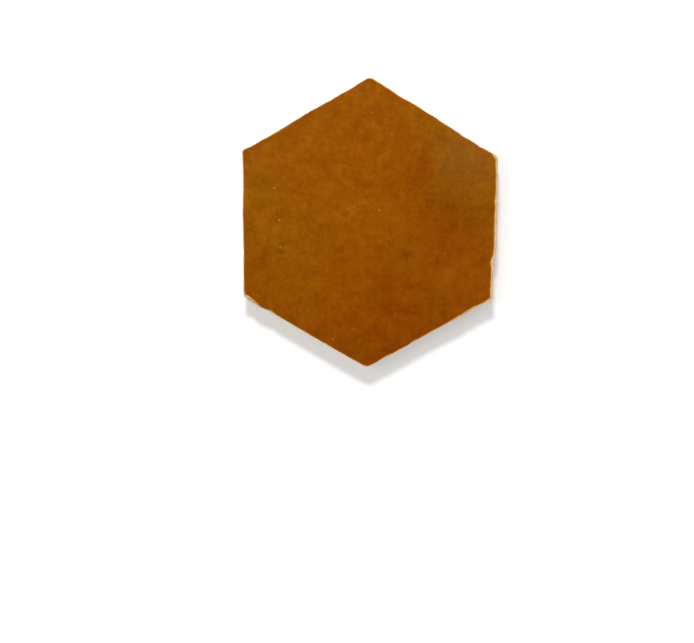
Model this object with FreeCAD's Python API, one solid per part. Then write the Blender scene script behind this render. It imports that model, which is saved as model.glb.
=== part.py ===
import FreeCAD, Part
import math
import os

V = FreeCAD.Vector

# A hand-cut, glazed earthenware floor tile: one fired piece, a pointed hexagon seen from above.
# Millimetres and degrees. +Z is up out of the glazed face, +Y points at the top corner.
ACROSS_FLATS = 130.0
THICKNESS = 12.0

# The glazed face swells a little: it lies this much lower at its corners than in its middle
FACE_CROWN = 0.5

# Every side is cut leaning in towards the bed, so that tiles close up at the face
UNDERCUT = 6.0

# The melted glaze rounds the edge of the face, and wear rounds the edge of the bed
ARRIS_RADIUS = 0.5
BED_EDGE_RADIUS = 0.8

# How far the middle of each side stands out beyond the regular hexagon
RIGHT_STAND_OUT = 1.9
UPPER_RIGHT_STAND_OUT = 0.6
UPPER_LEFT_STAND_OUT = 1.2
LEFT_STAND_OUT = 0.3
LOWER_LEFT_STAND_OUT = -0.2
LOWER_RIGHT_STAND_OUT = -0.5

# How far each side is turned from the regular hexagon, counter-clockwise seen from above
RIGHT_TURN = -1.4
UPPER_RIGHT_TURN = -2.3
UPPER_LEFT_TURN = 0.3
LEFT_TURN = 0.5
LOWER_LEFT_TURN = -0.2
LOWER_RIGHT_TURN = -0.8

# The corners were rubbed round by different amounts
UPPER_RIGHT_CORNER_RADIUS = 1.5
TOP_CORNER_RADIUS = 4.0
UPPER_LEFT_CORNER_RADIUS = 1.5
LOWER_LEFT_CORNER_RADIUS = 1.6
BOTTOM_CORNER_RADIUS = 4.5
LOWER_RIGHT_CORNER_RADIUS = 2.0

# A long flake is struck off the right side, from below its middle down to the corner
FLAKE_START = 10.5
FLAKE_SLOPE_LENGTH = 7.0
FLAKE_DEPTH = 1.15
FLAKE_TURN = -1.5

# The chips in the edge of the face: their length along the edge and their bite into it
NICK_LENGTH = 3.0
NICK_BITE = 0.45
CHIP_LENGTH = 7.0
SHALLOW_CHIP_BITE = 0.45
DEEP_CHIP_BITE = 0.7

# Where they lie along their sides, counter-clockwise from the middle of the side
UPPER_RIGHT_NICK_PLACE = -26.4
LEFT_CHIP_PLACE = 10.0
LOWER_LEFT_CORNER_CHIP_PLACE = -33.0
LOWER_LEFT_CHIP_PLACE = -21.0
LOWER_LEFT_NICK_PLACE = 12.0
LOWER_RIGHT_CHIP_PLACE = -9.0
LOWER_RIGHT_NICK_PLACE = 22.0

SIDE_COUNT = 6
SIDE_STEP = 360.0 / SIDE_COUNT

# The height of the corners of the face, at which the width across the flats is taken
EDGE_HEIGHT = THICKNESS - FACE_CROWN

# The sides and the corners, counter-clockwise from the right
SIDES = [
    (RIGHT_STAND_OUT, RIGHT_TURN),
    (UPPER_RIGHT_STAND_OUT, UPPER_RIGHT_TURN),
    (UPPER_LEFT_STAND_OUT, UPPER_LEFT_TURN),
    (LEFT_STAND_OUT, LEFT_TURN),
    (LOWER_LEFT_STAND_OUT, LOWER_LEFT_TURN),
    (LOWER_RIGHT_STAND_OUT, LOWER_RIGHT_TURN),
]
RIGHT, UPPER_RIGHT, UPPER_LEFT, LEFT, LOWER_LEFT, LOWER_RIGHT = range(SIDE_COUNT)
CORNER_RADII = [
    UPPER_RIGHT_CORNER_RADIUS,
    TOP_CORNER_RADIUS,
    UPPER_LEFT_CORNER_RADIUS,
    LOWER_LEFT_CORNER_RADIUS,
    BOTTOM_CORNER_RADIUS,
    LOWER_RIGHT_CORNER_RADIUS,
]

# Each chip: its side, its place along the side, and its size
CHIPS = [
    (UPPER_RIGHT, UPPER_RIGHT_NICK_PLACE, NICK_LENGTH, NICK_BITE),
    (LEFT, LEFT_CHIP_PLACE, CHIP_LENGTH, SHALLOW_CHIP_BITE),
    (LOWER_LEFT, LOWER_LEFT_CORNER_CHIP_PLACE, CHIP_LENGTH, DEEP_CHIP_BITE),
    (LOWER_LEFT, LOWER_LEFT_CHIP_PLACE, CHIP_LENGTH, DEEP_CHIP_BITE),
    (LOWER_LEFT, LOWER_LEFT_NICK_PLACE, NICK_LENGTH, NICK_BITE),
    (LOWER_RIGHT, LOWER_RIGHT_CHIP_PLACE, CHIP_LENGTH, SHALLOW_CHIP_BITE),
    (LOWER_RIGHT, LOWER_RIGHT_NICK_PLACE, NICK_LENGTH, NICK_BITE),
]

# Half the width across the corners of the regular hexagon, and a length that clears the tile
CORNER_REACH = ACROSS_FLATS / 2 / math.cos(math.radians(SIDE_STEP / 2))
CLEAR = ACROSS_FLATS


def blank():
    """The pressed slab: a round of clay with a flat bed and a slightly domed face"""
    dome_radius = (CORNER_REACH ** 2 + FACE_CROWN ** 2) / (2 * FACE_CROWN)
    dome_centre = THICKNESS - dome_radius

    def dome_point(radius):
        height = dome_centre + math.sqrt(dome_radius ** 2 - radius ** 2)
        return V(radius, 0, height)

    rim = dome_point(CLEAR)
    middle = dome_point(0)
    dome = Part.Arc(rim, dome_point(CLEAR / 2), middle).toShape()
    outline = Part.Wire([
        Part.makeLine(V(0, 0, 0), V(CLEAR, 0, 0)),
        Part.makeLine(V(CLEAR, 0, 0), rim),
        dome,
        Part.makeLine(middle, V(0, 0, 0)),
    ])
    return Part.Face(outline).revolve(V(0, 0, 0), V(0, 0, 1), 360)


def set_on_side(shape, side):
    """Carry a shape from the local frame of a side cut, +X outwards, to its place on the tile"""
    stand_out, turn = SIDES[side]
    direction = side * SIDE_STEP + turn
    distance = ACROSS_FLATS / 2 + stand_out
    placed = shape.copy()
    placed.rotate(V(0, 0, 0), V(0, 1, 0), UNDERCUT)
    placed.rotate(V(0, 0, 0), V(0, 0, 1), direction)
    angle = math.radians(direction)
    placed.translate(V(distance * math.cos(angle), distance * math.sin(angle), EDGE_HEIGHT))
    return placed


def side_waste():
    """All the clay outside one straight cut"""
    return Part.makeBox(CLEAR, 2 * CLEAR, 2 * CLEAR, V(0, -CLEAR, -CLEAR))


def flake_waste():
    """The long flake: a slanting break, and then a new straight edge down to the corner"""
    far_depth = FLAKE_DEPTH - CLEAR * math.tan(math.radians(FLAKE_TURN))
    slope_end = -FLAKE_START - FLAKE_SLOPE_LENGTH
    outline = Part.makePolygon([
        V(0, -FLAKE_START, -CLEAR),
        V(-FLAKE_DEPTH, slope_end, -CLEAR),
        V(-far_depth, slope_end - CLEAR, -CLEAR),
        V(CLEAR, slope_end - CLEAR, -CLEAR),
        V(CLEAR, -FLAKE_START, -CLEAR),
        V(0, -FLAKE_START, -CLEAR),
    ])
    return Part.Face(outline).extrude(V(0, 0, 2 * CLEAR))


def chip_waste(along, length, bite):
    """A shell-shaped chip in the edge of the face, as a ball that dips into it"""
    radius = (length ** 2 / 4 + bite ** 2) / (2 * bite)
    stand_off = (radius - bite) / math.sqrt(2)
    return Part.makeSphere(radius, V(stand_off, along, stand_off))


def nearest_upright_edge(solid, direction):
    """The edge from bed to face that lies nearest to a direction from the middle"""
    toward = V(math.cos(math.radians(direction)), math.sin(math.radians(direction)), 0)
    upright = [edge for edge in solid.Edges if edge.BoundBox.ZLength > THICKNESS / 2]

    def angle_off(edge):
        place = edge.CenterOfMass
        return toward.getAngle(V(place.x, place.y, 0))

    return min(upright, key=angle_off)


def face_at(solid, end):
    """The face whose middle is highest or lowest: end is max or min"""
    return end(solid.Faces, key=lambda face: face.CenterOfMass.z)


def hexagon_tile():
    """The tile: sides cut from the slab, corners and edges rounded, flake and chips struck off"""
    tile = blank()
    for side in range(SIDE_COUNT):
        tile = tile.cut(set_on_side(side_waste(), side))
    tile = tile.cut(set_on_side(flake_waste(), RIGHT))

    for corner, radius in enumerate(CORNER_RADII):
        direction = (corner + 0.5) * SIDE_STEP
        tile = tile.makeFillet(radius, [nearest_upright_edge(tile, direction)])
    tile = tile.makeFillet(ARRIS_RADIUS, face_at(tile, max).Edges)
    tile = tile.makeFillet(BED_EDGE_RADIUS, face_at(tile, min).Edges)

    for side, along, length, bite in CHIPS:
        tile = tile.cut(set_on_side(chip_waste(along, length, bite), side))

    # The origin is under the middle of the tile, on its bed
    middle = tile.optimalBoundingBox().Center
    tile.translate(V(-middle.x, -middle.y, 0))
    return tile.Solids[0]


os.makedirs("parts", exist_ok=True)
tile = hexagon_tile()
tile.exportStep("parts/hexagon_tile.step")
extent = tile.optimalBoundingBox()
print(f"hexagon_tile {extent.XLength:.1f} x {extent.YLength:.1f} x {extent.ZLength:.1f} mm")
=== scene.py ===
import math
import random

import bpy
import numpy
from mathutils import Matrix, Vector, geometry, kdtree, noise


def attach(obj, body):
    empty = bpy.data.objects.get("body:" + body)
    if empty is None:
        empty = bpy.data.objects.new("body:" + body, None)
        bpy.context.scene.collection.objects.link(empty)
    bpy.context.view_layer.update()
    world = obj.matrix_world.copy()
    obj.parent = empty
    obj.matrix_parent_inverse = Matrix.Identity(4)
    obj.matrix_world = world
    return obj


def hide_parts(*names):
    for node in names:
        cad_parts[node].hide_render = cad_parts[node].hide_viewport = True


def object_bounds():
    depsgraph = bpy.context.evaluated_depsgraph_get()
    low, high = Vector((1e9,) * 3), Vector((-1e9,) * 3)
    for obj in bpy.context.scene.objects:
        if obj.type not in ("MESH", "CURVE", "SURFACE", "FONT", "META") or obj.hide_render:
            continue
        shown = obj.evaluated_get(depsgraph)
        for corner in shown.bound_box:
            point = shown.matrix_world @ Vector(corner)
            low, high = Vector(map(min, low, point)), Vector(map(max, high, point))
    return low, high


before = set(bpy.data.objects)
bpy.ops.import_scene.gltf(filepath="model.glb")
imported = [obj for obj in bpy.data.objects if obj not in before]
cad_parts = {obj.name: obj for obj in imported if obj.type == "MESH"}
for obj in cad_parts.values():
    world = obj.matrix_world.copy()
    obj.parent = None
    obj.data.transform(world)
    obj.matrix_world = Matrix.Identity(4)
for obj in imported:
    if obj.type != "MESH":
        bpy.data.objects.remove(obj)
cad_low, cad_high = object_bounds()

# The tile: one hexagon of pale earthenware, cut by hand from a slab and fired, with a thick
# amber glaze melted over its face. Its sides lean in towards the bed and stay bare.
# Clay and glaze are fused into one body, so the face, sides, chips and bed are one closed mesh.
MM = 0.001
ACROSS_FLATS = 130 * MM
THICKNESS = 12 * MM
FACE_CROWN = 0.5 * MM
UNDERCUT = math.radians(6)
BED_EDGE_RADIUS = 0.8 * MM

SIDE_STEP = math.radians(60)
EDGE_HEIGHT = THICKNESS - FACE_CROWN
CORNER_REACH = ACROSS_FLATS / 2 / math.cos(SIDE_STEP / 2)
DOME_RADIUS = (CORNER_REACH ** 2 + FACE_CROWN ** 2) / (2 * FACE_CROWN)

# Each side counter-clockwise from the right: how far it stands out, in millimetres, and how far
# it is turned, in degrees
SIDE_CUTS = [(1.9, -1.4), (0.6, -2.3), (1.2, 0.3), (0.3, 0.5), (-0.2, -0.2), (-0.5, -0.8)]
RIGHT, UPPER_RIGHT, UPPER_LEFT, LEFT, LOWER_LEFT, LOWER_RIGHT = range(len(SIDE_CUTS))

# The radius in millimetres of the corner at the end of each side, the last before the right side
CORNER_RADII = [1.5, 4.0, 1.5, 1.6, 4.5, 2.0]

# The long flake off the right side: a slanting break, and then a new edge down to the corner
FLAKE_START = 10.5 * MM
FLAKE_SLOPE_LENGTH = 7 * MM
FLAKE_DEPTH = 1.15 * MM
FLAKE_TURN = math.radians(-1.5)
FLAKE_HOLLOW_RADIUS = 2.5 * MM
FLAKE_SHOULDER_RADIUS = 4 * MM


def side_frame(side):
    """The outward and sideways directions of a side, and the middle of its edge, in plan"""
    stand_out, turn = SIDE_CUTS[side]
    angle = SIDE_STEP * side + math.radians(turn)
    out = Vector((math.cos(angle), math.sin(angle)))
    return out, Vector((-out.y, out.x)), out * (ACROSS_FLATS / 2 + stand_out * MM)


def on_side(side, outwards, sideways):
    """A point of the plan, given in the frame of a side"""
    out, along, middle = side_frame(side)
    return middle + out * outwards + along * sideways


def cut_through(first, second, corner_radius):
    """The straight cut from one point to the next: outward angle, distance and end radius"""
    run = (second - first).normalized()
    out = Vector((run.y, -run.x))
    return math.atan2(out.y, out.x), out.dot(first), corner_radius


def outline_cuts():
    """Every straight cut round the tile, counter-clockwise, starting with the flake's new edge"""
    shoulder = on_side(RIGHT, 0, -FLAKE_START)
    hollow = on_side(RIGHT, -FLAKE_DEPTH, -FLAKE_START - FLAKE_SLOPE_LENGTH)
    run_on = FLAKE_SLOPE_LENGTH
    foot_depth = FLAKE_DEPTH - run_on * math.tan(FLAKE_TURN)
    foot = on_side(RIGHT, -foot_depth, -FLAKE_START - FLAKE_SLOPE_LENGTH - run_on)
    cuts = [
        cut_through(foot, hollow, -FLAKE_HOLLOW_RADIUS),
        cut_through(hollow, shoulder, FLAKE_SHOULDER_RADIUS),
    ]
    for side, radius in enumerate(CORNER_RADII):
        cuts.append(cut_through(on_side(side, 0, 0), on_side(side, 0, MM), radius * MM))
    return cuts


def corner_arcs(lean):
    """The rounded corners: centre, radius, start angle and turn. A hollow has a negative radius"""
    cuts = outline_cuts()
    arcs = []
    for index, (angle, distance, radius) in enumerate(cuts):
        next_angle, next_distance, _ = cuts[(index + 1) % len(cuts)]
        turn = (next_angle - angle + math.pi) % math.tau - math.pi
        first = distance - lean - radius
        second = next_distance - lean - radius
        centre = Vector((
            first * math.sin(next_angle) - second * math.sin(angle),
            second * math.cos(angle) - first * math.cos(next_angle),
        )) / math.sin(turn)
        arcs.append((centre, radius, angle, turn))
    return arcs


def arc_point(arc, share):
    """A point of a rounded corner and the outward direction there"""
    centre, radius, angle, turn = arc
    way = angle + turn * share
    out = Vector((math.cos(way), math.sin(way)))
    return centre + out * radius, out


# The spacing of the mesh along the edge, over the face and over the bed, and the fewest steps
# that it takes round a corner
EDGE_SPACING = 0.42 * MM
FACE_SPACING = 0.95 * MM
BED_SPACING = 1.0 * MM
FEWEST_ARC_STEPS = 4


def outline(lean):
    """Points round the tile with their outward directions, always the same number of them"""
    plain_arcs = corner_arcs(0)
    arcs = corner_arcs(lean)
    points = []
    for index, arc in enumerate(arcs):
        plain, plain_next = plain_arcs[index], plain_arcs[(index + 1) % len(arcs)]
        _, radius, _, turn = plain
        arc_steps = max(FEWEST_ARC_STEPS, round(abs(radius * turn) / EDGE_SPACING))
        for step in range(arc_steps + 1):
            points.append(arc_point(arc, step / arc_steps))
        run = (arc_point(plain_next, 0)[0] - arc_point(plain, 1)[0]).length
        run_steps = round(run / EDGE_SPACING)
        start, out = points[-1]
        end = arc_point(arcs[(index + 1) % len(arcs)], 0)[0]
        for step in range(1, run_steps):
            points.append((start.lerp(end, step / run_steps), out))
    return points


def wander(point, wavelength, seed):
    """A smooth random value from -1 to 1 that drifts along the edge"""
    return noise.noise(Vector((point.x / wavelength, point.y / wavelength, seed)))


def spots_at(point, sides):
    """The sum of the soft spots along the sides"""
    total = 0
    for side, spots in sides.items():
        for along, half_width, amount in spots:
            away = (point - on_side(side, 0, along * MM)).length / (half_width * MM)
            if away < 1:
                total += amount * MM * (1 - away * away) ** 2
    return total


# The cut lies a little inside the straight line, and not quite straight. The spots where it
# wandered have their place along the side, their half width and their amount in millimetres.
CUT_INSET = 0.13 * MM
CUT_WANDER = 0.08 * MM
CUT_WAVELENGTH = 4.5 * MM
CUT_SEED = 5
CUT_WAVES = {
    RIGHT: [
        (-34.5, 4.5, -0.32), (-17.8, 3, -0.18), (-14, 2.2, 0.24), (7, 8, -0.08), (20, 7, 0.20),
        (28.5, 4, 0.13), (34, 6, -0.20),
    ],
    UPPER_RIGHT: [
        (-36.2, 2.6, 0.42), (-34, 4, 0.36), (-30.5, 2.5, 0.22), (-26.8, 2.4, -0.24),
        (-17.5, 3.5, -0.30), (-8, 6, 0.08), (1, 5, 0.28), (11.5, 8, 0.26), (22, 7, -0.26),
        (30.5, 3, -0.12), (33.5, 3, 0.10),
    ],
    UPPER_LEFT: [
        (-27, 6.5, -0.28), (-20, 2.2, -0.20), (-16, 3, -0.20), (-2.5, 6, 0.30), (14, 8, -0.16),
        (21.5, 5, -0.20), (35.5, 3.5, 0.42),
    ],
    LEFT: [(-24, 12, -0.26), (-5, 9, 0.22), (13.5, 4, -0.14), (33.5, 3.5, 0.16)],
    LOWER_LEFT: [(-30.5, 9, 0.80), (0, 40, 0.20)],
    LOWER_RIGHT: [(-15, 26, 0.25), (14, 14, 0.50), (21, 8, 0.40), (33, 12, 0.50), (38, 5, 0.60)],
}
straight_edge = outline(0)
straight_foot = outline(EDGE_HEIGHT * math.tan(UNDERCUT))
edge = []
foot = []
for (point, out), (foot_point, _) in zip(straight_edge, straight_foot):
    wave = spots_at(point, CUT_WAVES) + CUT_WANDER * wander(point, CUT_WAVELENGTH, CUT_SEED) - CUT_INSET
    edge.append((point + out * wave, out))
    foot.append((foot_point + out * wave, out))
edge_count = len(edge)


def face_height(x, y):
    """The height of the slightly domed face"""
    return THICKNESS - DOME_RADIUS + math.sqrt(DOME_RADIUS ** 2 - x * x - y * y)


# The melted edge of the glaze: its rounding, and how far over each side's edge it reaches, in
# millimetres. It hardly passes the edge, and on the right it leaves a pale line of bare clay.
ARRIS_RADIUS = 0.5 * MM
ARRIS_RADIUS_WANDER = 0.15 * MM
ARRIS_WAVELENGTH = 9 * MM
ARRIS_SEED = 7
GLAZE_REACH = [-0.68, 0.6, 0.6, 0.55, 0.45, 0.4]
GLAZE_WANDER = 0.3 * MM
GLAZE_WAVELENGTH = 3.5 * MM
GLAZE_SEED = 3
GLAZE_DRIFT = 0.25 * MM
GLAZE_DRIFT_WAVELENGTH = 13 * MM
GLAZE_DRIFT_SEED = 13

# The spots where it stopped short of that or ran past it, given like the waves of the cut
GLAZE_STOPS = {
    RIGHT: [(-17.6, 4, -0.2), (-25, 8, 0.25), (-36.5, 5, -0.35)],
    LOWER_LEFT: [(-34, 8, -1.7)],
    LOWER_RIGHT: [(22, 15, -0.8), (36.5, 4, -0.8)],
}


def glaze_reach(point):
    """How far over the edge the glaze reaches at a point of the outline"""
    side = round(math.atan2(point.y, point.x) / SIDE_STEP) % len(SIDE_CUTS)
    drawn = GLAZE_WANDER * wander(point, GLAZE_WAVELENGTH, GLAZE_SEED)
    drawn += GLAZE_DRIFT * wander(point, GLAZE_DRIFT_WAVELENGTH, GLAZE_DRIFT_SEED)
    return GLAZE_REACH[side] * MM + drawn + spots_at(point, GLAZE_STOPS)


reaches = [glaze_reach(point) for point, _ in edge]

# Rows of points from the face, over the arris, down the side and round the edge of the bed.
# Beside each point goes its distance over the edge, measured along the surface.
ARRIS_ROWS = 7
SIDE_ROWS = 28
BED_EDGE_ROWS = 5
SIDE_TILT = math.pi / 2 + UNDERCUT

rows = [[] for _ in range(ARRIS_ROWS + SIDE_ROWS + BED_EDGE_ROWS)]
for (point, out), (foot_point, _), reach in zip(edge, foot, reaches):
    radius = ARRIS_RADIUS + ARRIS_RADIUS_WANDER * wander(point, ARRIS_WAVELENGTH, ARRIS_SEED)
    inset = radius * (1 + math.sin(UNDERCUT)) / math.cos(UNDERCUT)
    top = face_height(point.x, point.y)
    profile = []
    for row in range(ARRIS_ROWS):
        tilt = SIDE_TILT * row / (ARRIS_ROWS - 1)
        plan = point - out * (inset - radius * math.sin(tilt))
        profile.append((plan, top - radius + radius * math.cos(tilt), radius * tilt))

    side_top = top - radius * (1 + math.sin(UNDERCUT))
    side_bottom = BED_EDGE_RADIUS * (1 + math.sin(UNDERCUT))
    for row in range(1, SIDE_ROWS + 1):
        height = side_top + (side_bottom - side_top) * row / SIDE_ROWS
        plan = foot_point.lerp(point, height / EDGE_HEIGHT)
        over = radius * SIDE_TILT + (side_top - height) / math.cos(UNDERCUT)
        profile.append((plan, height, over))

    turn_plan = foot_point.lerp(point, BED_EDGE_RADIUS / EDGE_HEIGHT)
    turn_inset = BED_EDGE_RADIUS / math.cos(UNDERCUT)
    side_length = profile[-1][2]
    for row in range(1, BED_EDGE_ROWS + 1):
        tilt = SIDE_TILT + (math.pi - SIDE_TILT) * row / BED_EDGE_ROWS
        plan = turn_plan - out * (turn_inset - BED_EDGE_RADIUS * math.sin(tilt))
        height = BED_EDGE_RADIUS * (1 + math.cos(tilt))
        profile.append((plan, height, side_length + BED_EDGE_RADIUS * (tilt - SIDE_TILT)))

    for row, (plan, height, over) in zip(rows, profile):
        row.append((plan.x, plan.y, height, (over - reach) / MM))

# Pinholes that burst in the glaze. The first few are where the photograph shows them,
# in millimetres from the middle of the tile, and the rest are scattered and smaller.
SEEN_PINHOLES = [
    (1.8, 58.4), (12.2, 47.0), (-46.4, 2.4), (-45.9, -11.6), (5.4, 7.6), (-18.4, -59.3),
    (-49.2, 19.0),
]
SEEN_RADIUS = 0.95 * MM
SCATTERED_PINHOLES = 70
SCATTERED_RADII = (0.2, 0.5)
PINHOLE_MARGIN = 4 * MM
PINHOLE_GAP = 3 * MM
SCATTER_SEED = 11
draw = random.Random(SCATTER_SEED)

edge_tree = kdtree.KDTree(edge_count)
for index, (point, out) in enumerate(edge):
    edge_tree.insert((point.x, point.y, 0), index)
edge_tree.balance()


def depth_inside(x, y):
    """How far a point of the plan lies inside the edge, and the number of the nearest edge point"""
    _, index, _ = edge_tree.find((x, y, 0))
    point, out = edge[index]
    return (point - Vector((x, y))).dot(out), index


pinholes = [(x * MM, y * MM, SEEN_RADIUS) for x, y in SEEN_PINHOLES]
while len(pinholes) < len(SEEN_PINHOLES) + SCATTERED_PINHOLES:
    x = draw.uniform(-CORNER_REACH, CORNER_REACH)
    y = draw.uniform(-CORNER_REACH, CORNER_REACH)
    apart = all(math.hypot(x - px, y - py) > PINHOLE_GAP for px, py, _ in pinholes)
    if apart and depth_inside(x, y)[0] > PINHOLE_MARGIN:
        pinholes.append((x, y, draw.uniform(*SCATTERED_RADII) * MM))


class Sheet:
    """A flat stretch of the body, filled with well spaced points and then with triangles"""

    CELL = 0.5 * MM
    JITTER = 0.12
    CLOSEST = 0.72
    MERGE_DISTANCE = 1e-9
    INSIDE_ONLY = 1

    def __init__(self, border):
        self.points = []
        self.cells = {}
        self.border_count = len(border)
        for x, y in border:
            self.add(x, y)

    def add(self, x, y):
        cell = (math.floor(x / self.CELL), math.floor(y / self.CELL))
        self.cells.setdefault(cell, []).append((x, y))
        self.points.append(Vector((x, y)))

    def offer(self, x, y, gap):
        """Take a point unless one that is already there lies closer than the gap"""
        reach = math.ceil(gap / self.CELL)
        column, line = math.floor(x / self.CELL), math.floor(y / self.CELL)
        for i in range(column - reach, column + reach + 1):
            for j in range(line - reach, line + reach + 1):
                for near_x, near_y in self.cells.get((i, j), ()):
                    if (near_x - x) ** 2 + (near_y - y) ** 2 < gap * gap:
                        return
        self.add(x, y)

    def offer_band(self, inset, gap):
        """Points along the border, moved in from it"""
        for (point, out), corner in zip(edge, self.points[:self.border_count]):
            moved = corner - out * inset
            self.offer(moved.x, moved.y, gap)

    def offer_lattice(self, spacing, margin):
        """A field of points in rows, each a little out of line"""
        line_gap = spacing * math.sqrt(3) / 2
        lines = round(CORNER_REACH / line_gap)
        for line in range(-lines, lines + 1):
            for column in range(-lines, lines + 1):
                stagger = 0.5 * (line % 2)
                x = (column + stagger) * spacing + draw.uniform(-self.JITTER, self.JITTER) * spacing
                y = line * line_gap + draw.uniform(-self.JITTER, self.JITTER) * spacing
                if depth_inside(x, y)[0] > margin:
                    self.offer(x, y, self.CLOSEST * spacing)

    def triangles(self):
        """Delaunay triangles inside the border, anticlockwise seen from above"""
        border = [(i, (i + 1) % self.border_count) for i in range(self.border_count)]
        made = geometry.delaunay_2d_cdt(
            self.points, border, [], self.INSIDE_ONLY, self.MERGE_DISTANCE, True
        )
        joined, _, corners, sources = made[:4]
        found = []
        for triangle in corners:
            (ax, ay), (bx, by), (cx, cy) = (joined[corner] for corner in triangle)
            a, b, c = (sources[corner][0] for corner in triangle)
            if (bx - ax) * (cy - ay) < (by - ay) * (cx - ax):
                b, c = c, b
            # Three border points that run clockwise are a sliver outside the border
            on_border = max(a, b, c) < self.border_count
            if not on_border or (a < b) + (b < c) + (c < a) == 2:
                found.append((a, b, c))
        return found


# Bands of points along the border, with their inset and gap in millimetres, and where the field
# inside them begins
FACE_BANDS = ((0.3, 0.28), (0.7, 0.4), (1.25, 0.6))
FACE_MARGIN = 1.8 * MM
BED_BANDS = ((0.5, 0.45), (1.2, 0.8))
BED_MARGIN = 2.6 * MM

# Rings of points round a pinhole, each with its size and its count. The sizes, and the gaps to
# other points, are in radii of the pinhole.
PINHOLE_RINGS = ((0.35, 7), (0.7, 10), (1.0, 14), (1.45, 16))
MIDDLE_GAP = 0.1
RING_GAP = 0.2

face = Sheet([(x, y) for x, y, _, _ in rows[0]])
for inset, gap in FACE_BANDS:
    face.offer_band(inset * MM, gap * MM)
for x, y, radius in pinholes:
    face.offer(x, y, MIDDLE_GAP * radius)
    for share, steps in PINHOLE_RINGS:
        for step in range(steps):
            way = math.tau * (step + share) / steps
            ring_x = x + share * radius * math.cos(way)
            ring_y = y + share * radius * math.sin(way)
            face.offer(ring_x, ring_y, RING_GAP * radius)
face.offer_lattice(FACE_SPACING, FACE_MARGIN)

bed = Sheet([(x, y) for x, y, _, _ in rows[-1]])
for inset, gap in BED_BANDS:
    bed.offer_band(inset * MM, gap * MM)
bed.offer_lattice(BED_SPACING, BED_MARGIN)

# The three stretches become one closed mesh that shares the points of the first and last rows
vertices = [(x, y, height) for row in rows for x, y, height, _ in row]
bareness = [bare_here for row in rows for _, _, _, bare_here in row]
bed_bareness = bareness[-1]
faces = []
for row in range(len(rows) - 1):
    for index in range(edge_count):
        here, there = row * edge_count + index, row * edge_count + (index + 1) % edge_count
        faces.append((here, here + edge_count, there + edge_count, there))

face_start = len(vertices)
for point in face.points[edge_count:]:
    vertices.append((point.x, point.y, face_height(point.x, point.y)))
    inside, index = depth_inside(point.x, point.y)
    bareness.append((ARRIS_RADIUS - inside - reaches[index]) / MM)
bed_start = len(vertices)
for point in bed.points[edge_count:]:
    vertices.append((point.x, point.y, 0.0))
    bareness.append(bed_bareness)

for corners in face.triangles():
    faces.append(tuple(c if c < edge_count else c - edge_count + face_start for c in corners))
last_row = edge_count * (len(rows) - 1)
for corners in bed.triangles():
    moved = [c + last_row if c < edge_count else c - edge_count + bed_start for c in corners]
    faces.append(tuple(reversed(moved)))

# Chips in the arris, each a ball that dips into it: side, place along it, length and bite, in
# millimetres. These are the ones that can be made out, and small nicks join them.
CHIPS = [
    (UPPER_RIGHT, -26.4, 3.0, 0.45),
    (LEFT, 10.0, 7.0, 0.45),
    (LOWER_LEFT, -33.0, 7.0, 0.7),
    (LOWER_LEFT, -21.0, 7.0, 0.7),
    (LOWER_LEFT, 12.0, 3.0, 0.45),
    (LOWER_RIGHT, -9.0, 7.0, 0.45),
    (LOWER_RIGHT, 22.0, 3.0, 0.45),
]
NICK_COUNT = 36
NICK_PLACES = (-36, 36)
NICK_LENGTHS = (1.0, 2.6)
NICK_BITES = (0.2, 0.36)
BED_NICK_COUNT = 44
BED_NICK_LENGTHS = (2, 7)
BED_NICK_BITES = (0.2, 0.7)
GLAZE_THICKNESS = 0.08 * MM

for _ in range(NICK_COUNT):
    CHIPS.append((
        draw.randrange(len(SIDE_CUTS)),
        draw.uniform(*NICK_PLACES),
        draw.uniform(*NICK_LENGTHS),
        draw.uniform(*NICK_BITES),
    ))

places = numpy.array(vertices)
bare = numpy.array(bareness)


def strike(corner, out, tilt, length, bite):
    """Push the points inside a ball out to its surface. The ball lies off a corner, at a tilt"""
    radius = (length ** 2 / 4 + bite ** 2) / (2 * bite)
    stand_off = radius - bite
    reach = out * stand_off * math.cos(tilt)
    rise = stand_off * math.sin(tilt)
    centre = numpy.array((corner.x + reach.x, corner.y + reach.y, corner.z + rise))
    away = places - centre
    distance = numpy.linalg.norm(away, axis=1)
    struck = distance < radius
    loss = radius - distance[struck]
    places[struck] = centre + away[struck] * (radius / distance[struck])[:, None]
    bare[struck] = numpy.maximum(bare[struck], (loss - GLAZE_THICKNESS) / MM)


HALF_RIGHT_ANGLE = math.pi / 4
for side, along, length, bite in CHIPS:
    plan = on_side(side, 0, along * MM)
    corner = Vector((plan.x, plan.y, face_height(plan.x, plan.y)))
    strike(corner, side_frame(side)[0], HALF_RIGHT_ANGLE - UNDERCUT, length * MM, bite * MM)

# The edge of the bed was knocked about more than the face, in the kiln and in the stack
for _ in range(BED_NICK_COUNT):
    point, out = foot[draw.randrange(edge_count)]
    corner = Vector((point.x, point.y, BED_EDGE_RADIUS / 2))
    length = draw.uniform(*BED_NICK_LENGTHS)
    bite = draw.uniform(*BED_NICK_BITES)
    strike(corner, out, -HALF_RIGHT_ANGLE - UNDERCUT, length * MM, bite * MM)

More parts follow.
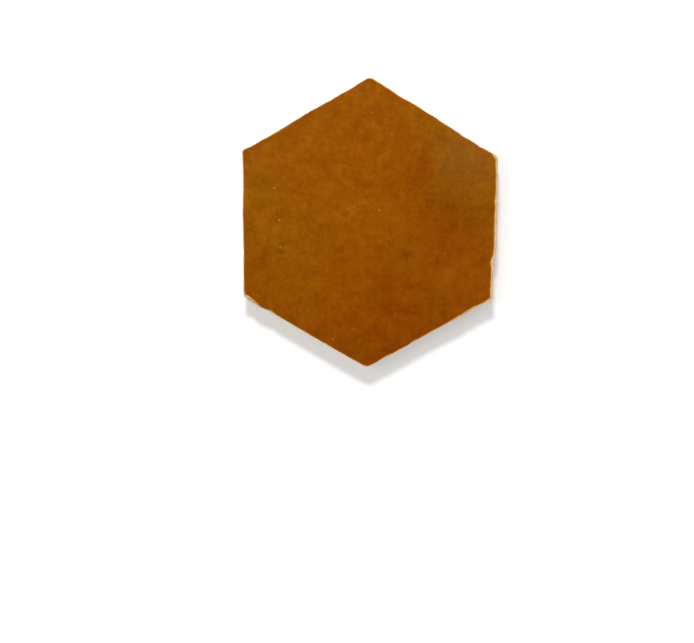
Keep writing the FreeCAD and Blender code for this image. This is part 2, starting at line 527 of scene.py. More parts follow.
# The colour of the melt: where it pooled deeper, and where it turned olive instead of amber.
# Each patch has its place from the tile's middle and its half width, in millimetres, and its
# strength. The melt also deepens down the face, from a height above the middle.
DEEPER_GLAZE = [
    (44, 1, 17, 0.15), (25, 24, 11, 0.14), (17, 9, 4, 0.09), (22, -42, 17, 0.06), (0, -66, 9, 0.06),
    (12, -20, 7, 0.03), (-36, -41, 9, -0.07), (-16, -20, 8, -0.04), (60, 26, 8, 0.05),
    (-58, -18, 4, 0.06), (-14, -13, 1.6, 0.16), (18, -16, 2.0, 0.16), (32, 11, 2.2, 0.14),
    (44, -2, 2.4, 0.12), (21, -32, 2.6, 0.14),
]
OLIVE_GLAZE = [
    (-57, 4, 17, 0.24), (-60, -20, 16, 0.14), (-30, -8, 14, 0.22), (-40, -32, 14, 0.22),
    (-53, 22, 9, 0.18), (55, 20, 18, 0.38), (36, 47, 13, 0.30), (29, 13, 8, 0.22),
    (15, -17, 7, 0.22), (30, -39, 8, 0.26), (-1, -37, 8, 0.15), (-4, -62, 8, 0.18),
    (34, -14, 14, -0.02), (62, 0, 8, 0.12), (-37, 33, 10, 0.12), (-24, 0, 4, -0.10),
]
AMBER_TURN = -0.10
POOL_TOP = 5
POOL_DROP = 70
POOL_DEPTH = 0.20
TOP_DEPTH = -0.085
PATCH_DRIFT = 7
PATCH_DRIFT_WAVELENGTH = 16


def patches_at(x, y, patches):
    """The sum of the soft patches at a point of the face, whose borders drift at random"""
    drift = noise.noise_vector(Vector((x, y, 0)) / PATCH_DRIFT_WAVELENGTH) * PATCH_DRIFT
    total = 0
    for centre_x, centre_y, half_width, strength in patches:
        loose = min(1, half_width / PATCH_DRIFT)
        from_x = x + loose * drift.x - centre_x
        from_y = y + loose * drift.y - centre_y
        away = math.hypot(from_x, from_y) / half_width
        total += strength * math.exp(-away ** 4 / 2)
    return total


melt_depth = []
melt_olive = []
for point in vertices:
    x = point[0] / MM
    y = point[1] / MM
    pooled = min(1, max(0, (POOL_TOP - y) / POOL_DROP))
    melt_depth.append(TOP_DEPTH + POOL_DEPTH * pooled + patches_at(x, y, DEEPER_GLAZE))
    melt_olive.append(AMBER_TURN + patches_at(x, y, OLIVE_GLAZE))

# The box of the outline is centred on the box of the solid, which stands on its origin
across = [point.x for point, _ in straight_edge]
upwards = [point.y for point, _ in straight_edge]
plan_low = Vector((min(across), min(upwards)))
plan_high = Vector((max(across), max(upwards)))
hexagon_middle = (cad_low + cad_high).xy / 2 - (plan_low + plan_high) / 2
places[:, 0] += hexagon_middle.x
places[:, 1] += hexagon_middle.y


def added(name, data):
    """A new object in the scene"""
    thing = bpy.data.objects.new(name, data)
    bpy.context.collection.objects.link(thing)
    return thing


def hold(mesh, name, values, domain="POINT"):
    """Give a mesh a value for each of its points or faces"""
    mesh.attributes.new(name, "FLOAT", domain).data.foreach_set("value", values)


body_mesh = bpy.data.meshes.new("tile_body")
body_mesh.from_pydata(places.tolist(), [], faces)
hold(body_mesh, "bare", bare)
hold(body_mesh, "depth", melt_depth)
hold(body_mesh, "olive", melt_olive)
tile = added("glazed_tile", body_mesh)

pinhole_mesh = bpy.data.meshes.new("pinhole_places")
middle_x, middle_y = hexagon_middle
pinhole_middles = [(x + middle_x, y + middle_y, face_height(x, y)) for x, y, _ in pinholes]
pinhole_mesh.from_pydata(pinhole_middles, [], [])
hold(pinhole_mesh, "radius", [radius for _, _, radius in pinholes])
pinhole_places = added("pinhole_places", pinhole_mesh)


def wire(tree, node, wiring):
    """Wire or set inputs of a node, which are given by name or number"""
    for name, value in wiring.items():
        if isinstance(value, bpy.types.NodeSocket):
            tree.links.new(value, node.inputs[name])
        else:
            node.inputs[name].default_value = value


def place(tree, kind, wiring, **settings):
    """Put a node in a tree, with its settings and its inputs"""
    node = tree.nodes.new(kind)
    for name, value in settings.items():
        setattr(node, name, value)
    wire(tree, node, wiring)
    return node


def maths(tree, operation, *values, clamp=False):
    """A sum of two or three values, or another of the Math node's operations"""
    wiring = dict(enumerate(values))
    return place(tree, "ShaderNodeMath", wiring, operation=operation, use_clamp=clamp).outputs[0]


def product(tree, first, *others):
    """All these values multiplied"""
    for other in others:
        first = maths(tree, "MULTIPLY", first, other)
    return first


def smooth_range(tree, value, start, end):
    """A value that goes softly from 0 at the start to 1 at the end"""
    wiring = {"Value": value, "From Min": start, "From Max": end}
    return place(tree, "ShaderNodeMapRange", wiring, interpolation_type="SMOOTHSTEP").outputs["Result"]


# Random values go from 0 to 1, mostly near their middle
GRAIN_MIDDLE = 0.5


def grain(tree, coordinates, wavelength, detail=0.0, roughness=0.5):
    """Random values that change over about a wavelength"""
    wiring = {
        "Vector": coordinates,
        "Scale": maths(tree, "DIVIDE", 1.0, wavelength),
        "Detail": detail,
        "Roughness": roughness,
    }
    return place(tree, "ShaderNodeTexNoise", wiring).outputs[0]


def soft_patches(tree, coordinates, wavelength, patch_range, detail, roughness=0.5):
    """Random patches of about a wavelength, 1 where they are full and 0 between them"""
    return smooth_range(tree, grain(tree, coordinates, wavelength, detail, roughness), *patch_range)


def socket(tree, name, kind, value=None, way="INPUT"):
    """A named input or output of a tree"""
    made = tree.interface.new_socket(name, in_out=way, socket_type=kind)
    if value is not None:
        made.default_value = value
    return made


# Relief of the melted face and of the cut clay, grown by Geometry Nodes. It only goes inwards,
# so the tile keeps its size and still rests on its bed.
RELIEF_INPUTS = {
    "Face Wave Height": 0.14 * MM,
    "Face Wave Length": 26 * MM,
    "Face Ripple Height": 0.04 * MM,
    "Face Ripple Length": 6 * MM,
    "Pinhole Depth": 0.12 * MM,
    "Pinhole Lip": 0.01 * MM,
    "Bite Depth": 0.6 * MM,
    "Bite Length": 9 * MM,
    "Bite Height": 6 * MM,
    "Drag Mark Depth": 0.2 * MM,
    "Drag Mark Spacing": 2.0 * MM,
    "Drag Mark Stretch": 0.2,
    "Mark Patch Length": 22 * MM,
    "Crumb Depth": 0.25 * MM,
    "Crumb Size": 1.6 * MM,
    "Scrape Depth": 0.22 * MM,
    "Scrape Spacing": 2.6 * MM,
    "Scrape Stretch": 0.1,
    "Bed Hollow": 0.6 * MM,
    "Bed Hollow Length": 20 * MM,
    "Bed Lump Height": 0.3 * MM,
    "Bed Lump Length": 5 * MM,
    "Pore Density": 9000.0,
    "Pore Depth": 0.4 * MM,
    "Pore Smallest": 0.45 * MM,
    "Pore Largest": 1.1 * MM,
}
RELIEF_SEED = 7

relief = bpy.data.node_groups.new("hand_cut_relief", "GeometryNodeTree")
socket(relief, "Geometry", "NodeSocketGeometry", way="OUTPUT")
socket(relief, "Geometry", "NodeSocketGeometry")
relief_sockets = {}
for name, value in RELIEF_INPUTS.items():
    relief_sockets[name] = socket(relief, name, "NodeSocketFloat", value)
relief_sockets["Pinholes"] = socket(relief, "Pinholes", "NodeSocketObject")
for name in ("Glaze", "Clay"):
    relief_sockets[name] = socket(relief, name, "NodeSocketMaterial")
relief_sockets["Seed"] = socket(relief, "Seed", "NodeSocketInt", RELIEF_SEED)
given = place(relief, "NodeGroupInput", {}).outputs
position = place(relief, "GeometryNodeInputPosition", {}).outputs[0]
normal = place(relief, "GeometryNodeInputNormal", {}).outputs[0]


def stored(name):
    """A value that the mesh holds at its points"""
    kind = "GeometryNodeInputNamedAttribute"
    return place(relief, kind, {"Name": name}, data_type="FLOAT").outputs[0]


def nearest_pit(pits, radius):
    """How far a point is from the nearest pit's middle, in radii of that pit"""
    wiring = {"Geometry": pits, "Sample Position": position}
    nearest = place(relief, "GeometryNodeSampleNearest", wiring).outputs[0]
    found = []
    for kind, value in (("FLOAT_VECTOR", position), ("FLOAT", radius)):
        wiring = {"Geometry": pits, "Value": value, "Index": nearest}
        found.append(place(relief, "GeometryNodeSampleIndex", wiring, data_type=kind).outputs[0])
    middle, pit_radius = found
    wiring = {0: position, 1: middle}
    distance = place(relief, "ShaderNodeVectorMath", wiring, operation="DISTANCE").outputs["Value"]
    return maths(relief, "DIVIDE", distance, pit_radius)


# What a point lies on, told by how far it is past the glaze's end, in millimetres, and by how
# much its surface looks up. Each range goes from where something starts to where it is full.
BARE_RANGE = (-0.4, 0.4)
BED_RANGE = (-0.7, -0.95)
WALL_RANGE = (0.7, 0.4)
past_glaze = stored("bare")
upward = place(relief, "ShaderNodeSeparateXYZ", {0: normal}).outputs["Z"]
bare_clay = smooth_range(relief, past_glaze, *BARE_RANGE)
glazed = maths(relief, "SUBTRACT", 1.0, bare_clay)
on_bed = smooth_range(relief, upward, *BED_RANGE)
on_wall = product(relief, bare_clay, smooth_range(relief, maths(relief, "ABSOLUTE", upward), *WALL_RANGE))

# The face: broad waves of the hand-pressed clay, ripples of the melt, and burst pinholes, whose
# slopes are told by how far from their middle they lie, in their radii
CRATER_SLOPE = (0.75, 0.1)
LIP_INSIDE = (0.6, 0.9)
LIP_OUTSIDE = (1.4, 0.9)
waves = product(relief, grain(relief, position, given["Face Wave Length"]), given["Face Wave Height"])
ripple_grain = grain(relief, position, given["Face Ripple Length"], detail=1.0)
ripples = product(relief, ripple_grain, given["Face Ripple Height"])
wiring = {"Object": given["Pinholes"]}
pinhole_info = place(relief, "GeometryNodeObjectInfo", wiring, transform_space="ORIGINAL")
pinhole_away = nearest_pit(pinhole_info.outputs["Geometry"], stored("radius"))
crater = smooth_range(relief, pinhole_away, *CRATER_SLOPE)
lip_inside = smooth_range(relief, pinhole_away, *LIP_INSIDE)
lip_outside = smooth_range(relief, pinhole_away, *LIP_OUTSIDE)
lip = product(relief, lip_inside, lip_outside, given["Pinhole Lip"])
face_loss = maths(relief, "ADD", waves, ripples)
face_loss = maths(relief, "MULTIPLY_ADD", crater, given["Pinhole Depth"], face_loss)
face_loss = maths(relief, "SUBTRACT", face_loss, lip)
face_loss = product(relief, face_loss, glazed)


def scaled(by_x, by_y, by_z):
    """The place of a point, with each of its coordinates multiplied"""
    by = place(relief, "ShaderNodeCombineXYZ", {0: by_x, 1: by_y, 2: by_z}).outputs[0]
    return place(relief, "ShaderNodeVectorMath", {0: position, 1: by}, operation="MULTIPLY").outputs[0]


# A groove is as wide as the random value takes to get this far from its middle
GROOVE_RANGE = (0.14, 0.0)


def grooves(coordinates, spacing, depth):
    """The loss of clay in grooves, where a random value passes its middle"""
    groove_grain = grain(relief, coordinates, spacing, detail=1.0)
    off_middle = maths(relief, "ABSOLUTE", maths(relief, "SUBTRACT", groove_grain, GRAIN_MIDDLE))
    return product(relief, smooth_range(relief, off_middle, *GROOVE_RANGE), depth)


# The sides: hollow bites of the hammer with ridges between them, and drag marks along the cut,
# which show in patches. Both start below the arris.
RIDGE_WIDTH = 0.4
MARKED_RANGE = (0.42, 0.62)
BELOW_ARRIS_RANGE = (0.8, 2.6)
per_length = maths(relief, "DIVIDE", 1.0, given["Bite Length"])
per_height = maths(relief, "DIVIDE", 1.0, given["Bite Height"])
wiring = {"Vector": scaled(per_length, per_length, per_height), "Scale": 1.0}
from_ridge = place(relief, "ShaderNodeTexVoronoi", wiring, feature="DISTANCE_TO_EDGE").outputs["Distance"]
off_ridge = maths(relief, "DIVIDE", from_ridge, RIDGE_WIDTH)
to_middle = maths(relief, "SUBTRACT", 1.0, off_ridge, clamp=True)
bites = maths(relief, "SUBTRACT", 1.0, product(relief, to_middle, to_middle))
drawn_out = scaled(given["Drag Mark Stretch"], given["Drag Mark Stretch"], 1.0)
marked = soft_patches(relief, position, given["Mark Patch Length"], MARKED_RANGE, detail=1.0)
drag_depth = product(relief, marked, given["Drag Mark Depth"])
drags = grooves(drawn_out, given["Drag Mark Spacing"], drag_depth)
below_arris = smooth_range(relief, past_glaze, *BELOW_ARRIS_RANGE)
wall_loss = maths(relief, "MULTIPLY_ADD", bites, given["Bite Depth"], drags)
wall_loss = product(relief, on_wall, below_arris, wall_loss)

# All the bare clay: crumbs that fell out, and open pores. Plain numbers have these sockets of
# the Random Value node: the lowest, the highest and the outcome.
CRUMB_RANGE = (0.45, 0.75)
PORES_FROM = 1.0
PORE_SLOPE = (1.0, 0.2)
RANDOM_LOWEST = 2
RANDOM_HIGHEST = 3
RANDOM_OUTCOME = 1
crumbs = soft_patches(relief, position, given["Crumb Size"], CRUMB_RANGE, detail=2.0)
clay_loss = product(relief, crumbs, given["Crumb Depth"], below_arris)
wiring = {
    "Mesh": given["Geometry"],
    "Selection": maths(relief, "GREATER_THAN", past_glaze, PORES_FROM),
    "Density": given["Pore Density"],
    "Seed": given["Seed"],
}
pore_points = place(relief, "GeometryNodeDistributePointsOnFaces", wiring).outputs["Points"]
wiring = {
    RANDOM_LOWEST: given["Pore Smallest"],
    RANDOM_HIGHEST: given["Pore Largest"],
    "Seed": given["Seed"],
}
random_node = place(relief, "FunctionNodeRandomValue", wiring, data_type="FLOAT")
pore_away = nearest_pit(pore_points, random_node.outputs[RANDOM_OUTCOME])
pore = smooth_range(relief, pore_away, *PORE_SLOPE)
in_pore = product(relief, pore, bare_clay)
clay_loss = maths(relief, "MULTIPLY_ADD", pore, given["Pore Depth"], clay_loss)
clay_loss = product(relief, clay_loss, bare_clay)

# The bed: broad hollows and lumps, and here and there the marks of the board that scraped it
HOLLOW_RANGE = (0.42, 0.7)
LUMP_RANGE = (0.35, 0.65)
hollow = soft_patches(relief, position, given["Bed Hollow Length"], HOLLOW_RANGE, detail=1.0)
between_lumps = soft_patches(relief, position, given["Bed Lump Length"], LUMP_RANGE, detail=3.0)
scraped = scaled(given["Scrape Stretch"], 1.0, 1.0)
scrape_depth = product(relief, marked, given["Scrape Depth"])
bed_loss = grooves(scraped, given["Scrape Spacing"], scrape_depth)
bed_loss = maths(relief, "MULTIPLY_ADD", hollow, given["Bed Hollow"], bed_loss)
bed_loss = maths(relief, "MULTIPLY_ADD", between_lumps, given["Bed Lump Height"], bed_loss)
bed_loss = product(relief, bed_loss, on_bed)

# The points move inwards by all of this. They hold how deep in a pinhole or a pore they are, which
# the materials read, and the clay's material starts well past the glaze's end.
PIT_RANGE = (0.8, 0.0)
CLAY_FROM = 1.5
top_and_sides = maths(relief, "ADD", face_loss, wall_loss)
loss = maths(relief, "ADD", top_and_sides, maths(relief, "ADD", clay_loss, bed_loss))
wiring = {0: normal, "Scale": maths(relief, "MULTIPLY", loss, -1.0)}
inwards = place(relief, "ShaderNodeVectorMath", wiring, operation="SCALE").outputs[0]

in_pinhole = smooth_range(relief, pinhole_away, *PIT_RANGE)
well_past = maths(relief, "GREATER_THAN", past_glaze, CLAY_FROM)
last_nodes = [
    ("GeometryNodeStoreNamedAttribute", {"Name": "pit", "Value": in_pinhole}),
    ("GeometryNodeStoreNamedAttribute", {"Name": "pore", "Value": in_pore}),
    ("GeometryNodeSetPosition", {"Offset": inwards}),
    ("GeometryNodeSetShadeSmooth", {"Shade Smooth": True}),
    ("GeometryNodeRealizeInstances", {}),
    ("GeometryNodeSetMaterial", {"Material": given["Glaze"]}),
    ("GeometryNodeSetMaterial", {"Material": given["Clay"], "Selection": well_past}),
]
shaped = given["Geometry"]
for kind, wiring in last_nodes:
    shaped = place(relief, kind, {"Geometry": shaped, **wiring}).outputs[0]
place(relief, "NodeGroupOutput", {0: shaped})

# The Mix node's numbered sockets for each kind of value: the first, the second and the outcome
MIX_SOCKETS = {"FLOAT": (2, 3, 0), "RGBA": (6, 7, 2)}


def mixed(tree, kind, share, first, second):
    """A number or a colour between two of them"""
    first_socket, second_socket, outcome = MIX_SOCKETS[kind]
    wiring = {"Factor": share, first_socket: first, second_socket: second}
    return place(tree, "ShaderNodeMix", wiring, data_type=kind).outputs[outcome]


def millimetres(tree):
    """Object coordinates in millimetres"""
    plain = place(tree, "ShaderNodeTexCoord", {}).outputs["Object"]
    wiring = {"Vector": plain, "Scale": (1 / MM, 1 / MM, 1 / MM)}
    return place(tree, "ShaderNodeMapping", wiring).outputs[0]


def surface_value(tree, name):
    """A value that the mesh holds, read by a material"""
    return place(tree, "ShaderNodeAttribute", {}, attribute_name=name).outputs["Fac"]


# Fired clay: pale peach with soft patches, grog specks, sandy grain and open pores, whose insides
# carry painted shade, used bare and under the glaze. Each kind of patch has a wavelength in
# millimetres, the range of its grain, the grain's detail and roughness, its strength and its colour.
CLAY_COLOUR = (0.753, 0.515, 0.305, 1)
CLAY_PALE = (0.88, 0.65, 0.41, 1)
CLAY_RED = (0.55, 0.30, 0.15, 1)
CLAY_PATCHES = [
    (9.0, (0.35, 0.7), 4.0, 0.5, 0.3, CLAY_RED),
    (2.6, (0.42, 0.72), 4.0, 0.7, 0.7, CLAY_PALE),
    (0.5, (0.55, 0.75), 2.0, 0.6, 0.35, CLAY_RED),
]
GROG_COLOUR = (0.36, 0.17, 0.08, 1)
GROG_PER_MM = 0.55
GROG_SIZE = 0.3
GROG_EDGE = 0.03
GROG_STRENGTH = 0.8
GROG_HEIGHT = 0.4
PORE_SHADE_STRENGTH = 0.6
SAND_LENGTH = 0.35
COARSE_LENGTH = 1.1
COARSE_HEIGHT = 0.8
SAND_ROUGHNESS = 0.12
CLAY_ROUGHNESS = 0.84

clay_grain = bpy.data.node_groups.new("fired_clay_grain", "ShaderNodeTree")
tree = clay_grain
socket(tree, "Coordinates", "NodeSocketVector")
socket(tree, "Pore", "NodeSocketFloat")
socket(tree, "Color", "NodeSocketColor", way="OUTPUT")
socket(tree, "Roughness", "NodeSocketFloat", way="OUTPUT")
socket(tree, "Height", "NodeSocketFloat", way="OUTPUT")
clay_inputs = place(tree, "NodeGroupInput", {}).outputs
clay_spot = clay_inputs["Coordinates"]
colour = CLAY_COLOUR
for wavelength, patch_range, detail, roughness, strength, patch_colour in CLAY_PATCHES:
    patch = soft_patches(tree, clay_spot, wavelength, patch_range, detail, roughness)
    colour = mixed(tree, "RGBA", product(tree, patch, strength), colour, patch_colour)
grit = place(tree, "ShaderNodeTexVoronoi", {"Vector": clay_spot, "Scale": GROG_PER_MM}).outputs
chance = place(tree, "ShaderNodeSeparateColor", {0: grit["Color"]}).outputs
grit_size = product(tree, chance["Red"], chance["Red"], GROG_SIZE)
off_grit = maths(tree, "SUBTRACT", grit["Distance"], grit_size)
grog = smooth_range(tree, off_grit, GROG_EDGE, -GROG_EDGE)
grog_colour = mixed(tree, "RGBA", chance["Green"], GROG_COLOUR, CLAY_PALE)
colour = mixed(tree, "RGBA", product(tree, grog, GROG_STRENGTH), colour, grog_colour)
# Painted shade: inside the pores the clay colour is darkened towards the red clay colour
painted_pore_shade = product(tree, clay_inputs["Pore"], PORE_SHADE_STRENGTH)
colour = mixed(tree, "RGBA", painted_pore_shade, colour, CLAY_RED)
sand = grain(tree, clay_spot, SAND_LENGTH, detail=3.0, roughness=0.7)
coarse = grain(tree, clay_spot, COARSE_LENGTH, detail=2.0)
grain_height = maths(tree, "MULTIPLY_ADD", coarse, COARSE_HEIGHT, sand)
grain_height = maths(tree, "MULTIPLY_ADD", grog, GROG_HEIGHT, grain_height)
rough = maths(tree, "MULTIPLY_ADD", sand, SAND_ROUGHNESS, CLAY_ROUGHNESS)
place(tree, "NodeGroupOutput", {"Color": colour, "Roughness": rough, "Height": grain_height})

# How the amber melt tints the clay below it: the share of each colour that one full depth lets
# through, and the change of that share where the glaze is fully olive.
GLAZE_PASSES = (0.392, 0.150, 0.0020)
OLIVE_CHANGE = (-0.2, 0.3, 0.3)
glaze_tint = bpy.data.node_groups.new("amber_glaze_tint", "ShaderNodeTree")
tree = glaze_tint
socket(tree, "Clay", "NodeSocketColor")
socket(tree, "Depth", "NodeSocketFloat")
socket(tree, "Olive", "NodeSocketFloat")
socket(tree, "Color", "NodeSocketColor", way="OUTPUT")
tint_inputs = place(tree, "NodeGroupInput", {}).outputs
clay_channels = place(tree, "ShaderNodeSeparateColor", {0: tint_inputs["Clay"]}).outputs
tinted = {}
for channel, (passes, change) in enumerate(zip(GLAZE_PASSES, OLIVE_CHANGE)):
    through = maths(tree, "POWER", passes, tint_inputs["Depth"])
    turned = maths(tree, "MULTIPLY_ADD", tint_inputs["Olive"], change, 1.0)
    tinted[channel] = product(tree, through, turned, clay_channels[channel])
tinted_clay = place(tree, "ShaderNodeCombineColor", tinted).outputs[0]
place(tree, "NodeGroupOutput", {"Color": tinted_clay})


def start_material(name):
    """A node material, with its tree and its Principled shader"""
    material = bpy.data.materials.new(name)
    material.use_nodes = True
    tree = material.node_tree
    return material, tree, tree.nodes["Principled BSDF"]


def clay_look(tree, spot):
    """The colour, roughness and height of fired clay at a spot of a material"""
    wiring = {"Coordinates": spot, "Pore": surface_value(tree, "pore")}
    return place(tree, "ShaderNodeGroup", wiring, node_tree=clay_grain).outputs


def bumped(tree, height, distance):
    """The normal of a surface with this relief"""
    return place(tree, "ShaderNodeBump", {"Height": height, "Distance": distance}).outputs[0]


# Bare clay of the sides and the bed
CLAY_BUMP = 0.2 * MM
CLAY_SHINE = 0.2
clay, tree, shader = start_material("fired_clay")
look = clay_look(tree, millimetres(tree))
wire(tree, shader, {
    "Base Color": look["Color"],
    "Roughness": look["Roughness"],
    "Normal": bumped(tree, look["Height"], CLAY_BUMP),
    "Specular IOR Level": CLAY_SHINE,
})


def kept(tree, mask, loss):
    """What is left of a whole where a mask takes this share of it away"""
    return maths(tree, "MULTIPLY_ADD", mask, -loss, 1.0)


# Amber glaze over the clay, thinning to nothing where it ends, on a ragged line. Lengths and the
# first two ranges are in millimetres. In its pinholes the melt is thinner, open and dull.
END_GRAIN_LENGTH = 0.7
END_RAGGED = 0.5
COVER_RANGE = (0.06, -0.06)
THICK_RANGE = (0.06, -0.9)
END_DEPTH = 0.25
PIT_THIN_RANGE = (0.0, 0.6)
PIT_THINNING = 0.4
PIT_OPEN_RANGE = (0.85, 0.97)
PIT_OPENING = 0.5
PIT_DULL_RANGE = (0.1, 0.6)
PIT_DULLING = 0.85
MOTTLE_LENGTH = 12.0
MOTTLE_DEPTH = 0.89
MOTTLE_OLIVE = 0.6
OLIVE_DRIFT_LENGTH = 5.0
OLIVE_DRIFT = 0.4
PEEL_LENGTH = 1.3
PEEL_HEIGHT = 0.10
GLAZE_BUMP = 0.08 * MM
PEEL_ROUGHNESS = 0.14
GLAZE_ROUGHNESS = 0.20
COAT_ROUGHNESS = 0.10

glaze, tree, shader = start_material("amber_glaze")
spot = millimetres(tree)
look = clay_look(tree, spot)
end_grain = grain(tree, spot, END_GRAIN_LENGTH, detail=2.0)
ragged = maths(tree, "MULTIPLY_ADD", end_grain, END_RAGGED, -END_RAGGED * GRAIN_MIDDLE)
past_end = maths(tree, "ADD", surface_value(tree, "bare"), ragged)
cover = smooth_range(tree, past_end, *COVER_RANGE)
thick = smooth_range(tree, past_end, *THICK_RANGE)
pit = surface_value(tree, "pit")
thin_pit = kept(tree, smooth_range(tree, pit, *PIT_THIN_RANGE), PIT_THINNING)
open_pit = kept(tree, smooth_range(tree, pit, *PIT_OPEN_RANGE), PIT_OPENING)
dull_pit = kept(tree, smooth_range(tree, pit, *PIT_DULL_RANGE), PIT_DULLING)
mottle_grain = grain(tree, spot, MOTTLE_LENGTH, detail=3.3, roughness=1.0)
mottle = maths(tree, "SUBTRACT", mottle_grain, GRAIN_MIDDLE)
depth = maths(tree, "ADD", surface_value(tree, "depth"), 1.0)
depth = maths(tree, "MULTIPLY_ADD", mottle, MOTTLE_DEPTH, depth)
depth = product(tree, depth, maths(tree, "MULTIPLY_ADD", thick, 1 - END_DEPTH, END_DEPTH))
depth = product(tree, thin_pit, open_pit, depth)
drift_grain = grain(tree, spot, OLIVE_DRIFT_LENGTH, detail=3.0, roughness=0.9)
drift = maths(tree, "SUBTRACT", drift_grain, GRAIN_MIDDLE)
olive = maths(tree, "MULTIPLY_ADD", drift, OLIVE_DRIFT, surface_value(tree, "olive"))
olive = maths(tree, "MULTIPLY_ADD", mottle, MOTTLE_OLIVE, olive)
wiring = {"Clay": CLAY_COLOUR, "Depth": depth, "Olive": olive}
tint = place(tree, "ShaderNodeGroup", wiring, node_tree=glaze_tint).outputs[0]
peel = grain(tree, spot, PEEL_LENGTH, detail=2.0)
peel_height = product(tree, peel, PEEL_HEIGHT)
satin = maths(tree, "MULTIPLY_ADD", peel, PEEL_ROUGHNESS, GLAZE_ROUGHNESS)
wire(tree, shader, {
    "Base Color": mixed(tree, "RGBA", cover, look["Color"], tint),
    "Roughness": mixed(tree, "FLOAT", cover, look["Roughness"], satin),
    "Normal": bumped(tree, mixed(tree, "FLOAT", cover, look["Height"], peel_height), GLAZE_BUMP),
    "Specular IOR Level": 0.0,
    "Coat Weight": product(tree, cover, dull_pit),
    "Coat Roughness": COAT_ROUGHNESS,
})

# The relief is grown, kept as a plain mesh, and stands for the solid
modifier = tile.modifiers.new("hand_cut_relief", "NODES")
modifier.node_group = relief
modifier[relief_sockets["Pinholes"].identifier] = pinhole_places
modifier[relief_sockets["Glaze"].identifier] = glaze
modifier[relief_sockets["Clay"].identifier] = clay
grown = bpy.data.meshes.new_from_object(tile.evaluated_get(bpy.context.evaluated_depsgraph_get()))
tile.modifiers.clear()
tile.data = grown
grown.name = "glazed_tile"
bpy.data.objects.remove(pinhole_places)
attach(tile, "root")
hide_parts("hexagon_tile")

# Plain pale floor, in metres, with a glow that grows from near to far, in millimetres. Seen from
# below it is clear, and the stretch under the tile is clear to all but the camera, so that
# light from below reaches the bed.
FLOOR_REACH = 0.7
FLOOR_DROP = 0.05 * MM
FLOOR_COLOUR = (0.86, 0.86, 0.86, 1)
FLOOR_ROUGHNESS = 0.9
NEAR_GLOW = 0.24
FAR_GLOW = 0.75
FLOOR_RANGE = (90, 320)
WHITE = (1, 1, 1, 1)
under_edge = [Vector((x, y)) + hexagon_middle for x, y, _, _ in rows[-1]]
rim = [point.normalized() * FLOOR_REACH for point in under_edge]
floor_places = [(point.x, point.y, -FLOOR_DROP) for point in under_edge + rim]
floor_faces = [tuple(range(edge_count))]
for here in range(edge_count):
    there = (here + 1) % edge_count
    floor_faces.append((here, edge_count + here, edge_count + there, there))
floor_mesh = bpy.data.meshes.new("floor")
floor_mesh.from_pydata(floor_places, [], floor_faces)
hold(floor_mesh, "under_tile", [1.0] + [0.0] * edge_count, domain="FACE")
floor = added("floor", floor_mesh)

paper, tree, shader = start_material("floor_paper")
rays = place(tree, "ShaderNodeLightPath", {}).outputs
seen = maths(tree, "MAXIMUM", rays["Is Camera Ray"], rays["Is Glossy Ray"])
wiring = {0: millimetres(tree)}
from_tile = place(tree, "ShaderNodeVectorMath", wiring, operation="LENGTH").outputs["Value"]
far = smooth_range(tree, from_tile, *FLOOR_RANGE)
glow = maths(tree, "MULTIPLY_ADD", far, FAR_GLOW - NEAR_GLOW, NEAR_GLOW)
wire(tree, shader, {
    "Base Color": FLOOR_COLOUR,
    "Roughness": FLOOR_ROUGHNESS,
    "Specular IOR Level": 0.0,
    "Emission Color": WHITE,
    "Emission Strength": product(tree, seen, glow),
})
clear = place(tree, "ShaderNodeBsdfTransparent", {}).outputs[0]
from_below = place(tree, "ShaderNodeNewGeometry", {}).outputs["Backfacing"]
unseen = maths(tree, "SUBTRACT", 1.0, rays["Is Camera Ray"])
clear_there = product(tree, surface_value(tree, "under_tile"), unseen)
clearness = maths(tree, "MAXIMUM", from_below, clear_there)
blend = place(tree, "ShaderNodeMixShader", {0: clearness, 1: shader.outputs[0], 2: clear}).outputs[0]
tree.links.new(blend, tree.nodes["Material Output"].inputs["Surface"])
floor_mesh.materials.append(paper)

# Soft square lamps, as the shadows tell: one beyond the top of the picture, one to the left. The
# glaze mirrors a dim panel in front of the first and a faint glow overhead. One lights the bed.
TOP_WAY = (-0.07, 0.65, 0.75)

# Each lamp has its direction from the tile, its distance and width in metres, its share of the
# light on a level surface, and whether the glaze mirrors it
LAMPS = [
    ("top_lamp", TOP_WAY, 2.7, 0.45, 0.42, False),
    ("top_panel", TOP_WAY, 2.4, 0.3, 0.02, True),
    ("left_softbox", (-0.46, 0.05, 0.88), 2.4, 1.0, 0.12, True),
    ("ceiling_glow", (0.127, 0.133, 1.0), 1.2, 0.08, 0.00024, True),
    ("bed_lamp", (0.7, -0.5, -0.4), 1.5, 0.3, 0.5, False),
]
TILE_MIDDLE = Vector((hexagon_middle.x, hexagon_middle.y, THICKNESS))
for name, direction, distance, width, share, mirrored in LAMPS:
    light = bpy.data.lights.new(name, "AREA")
    light.size = width
    way = Vector(direction).normalized()
    light.energy = share * math.pi ** 2 * distance ** 2 / abs(way.z)
    lamp = added(name, light)
    lamp.location = TILE_MIDDLE + way * distance
    lamp.rotation_euler = way.to_track_quat("Z", "Y").to_euler()
    lamp.visible_camera = False
    lamp.visible_glossy = mirrored

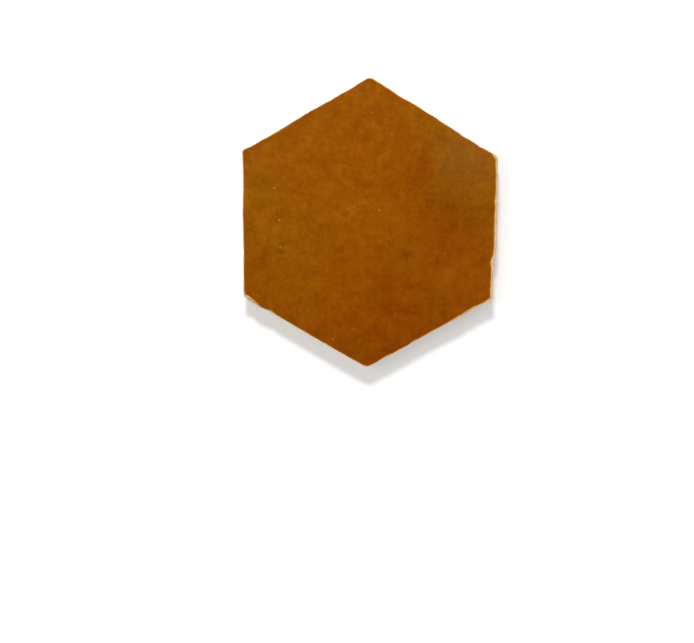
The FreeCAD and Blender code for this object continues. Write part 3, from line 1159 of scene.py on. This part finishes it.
# Light of the room, darkest overhead and dim at the horizon, in upright stretches that the glaze
# mirrors, with some from below the floor for the bed, and a white picture ground
ZENITH_LIGHT = 0.004
HORIZON_LIGHT = 0.35
WALL_LIGHT = 1.29
LIGHT_BELOW = 0.15
STRETCH_WIDTH = 0.15
STRETCH_UPRIGHT = 0.3
STRETCH_RANGE = (0.4, 0.6)
STRETCH_DARKEST = 0.35
STRETCH_BRIGHTEST = 1.8
world = bpy.data.worlds.new("room")
world.use_nodes = True
tree = world.node_tree
outlook = place(tree, "ShaderNodeTexCoord", {}).outputs["Generated"]
up = place(tree, "ShaderNodeSeparateXYZ", {0: outlook}).outputs["Z"]
height_squared = product(tree, up, up)
above = maths(tree, "GREATER_THAN", up, 0.0)
level = maths(tree, "MULTIPLY_ADD", product(tree, height_squared, above), WALL_LIGHT, HORIZON_LIGHT)
level = maths(tree, "MULTIPLY_ADD", level, maths(tree, "SUBTRACT", 1.0, height_squared), ZENITH_LIGHT)
wiring = {"Vector": outlook, "Scale": (1, 1, STRETCH_UPRIGHT)}
upright = place(tree, "ShaderNodeMapping", wiring).outputs[0]
stretch = soft_patches(tree, upright, STRETCH_WIDTH, STRETCH_RANGE, detail=1.0)
stretch = maths(tree, "MULTIPLY_ADD", stretch, STRETCH_BRIGHTEST - STRETCH_DARKEST, STRETCH_DARKEST)
level = product(tree, level, stretch)
level = maths(tree, "MULTIPLY_ADD", maths(tree, "SUBTRACT", 1.0, above), LIGHT_BELOW, level)
to_camera = place(tree, "ShaderNodeLightPath", {}).outputs["Is Camera Ray"]
background = tree.nodes["Background"]
wire(tree, background, {"Color": WHITE, "Strength": mixed(tree, "FLOAT", to_camera, level, 1.0)})
bpy.context.scene.world = world

# The camera looks straight down. The frame is wider than the tile, as the picture is. The tile
# measures this many of the picture's pixels across its flats.
PIXELS_ACROSS_FLATS = 250.7
PIXEL = ACROSS_FLATS / PIXELS_ACROSS_FLATS
PICTURE_SIZE = Vector((694, 643))
PICTURE_TILE_MIDDLE = Vector((368.52, 224.72))
CAMERA_HEIGHT = 1.0
SENSOR = 36.0
aim = PICTURE_SIZE / 2 - PICTURE_TILE_MIDDLE
camera_data = bpy.data.cameras.new("camera")
camera_data.sensor_width = SENSOR
camera_data.lens = SENSOR * CAMERA_HEIGHT / (PICTURE_SIZE.x * PIXEL)
camera = added("camera", camera_data)
camera.location = TILE_MIDDLE + Vector((aim.x * PIXEL, -aim.y * PIXEL, CAMERA_HEIGHT))
bpy.context.scene.camera = camera
bpy.context.scene.view_settings.view_transform = "Standard"
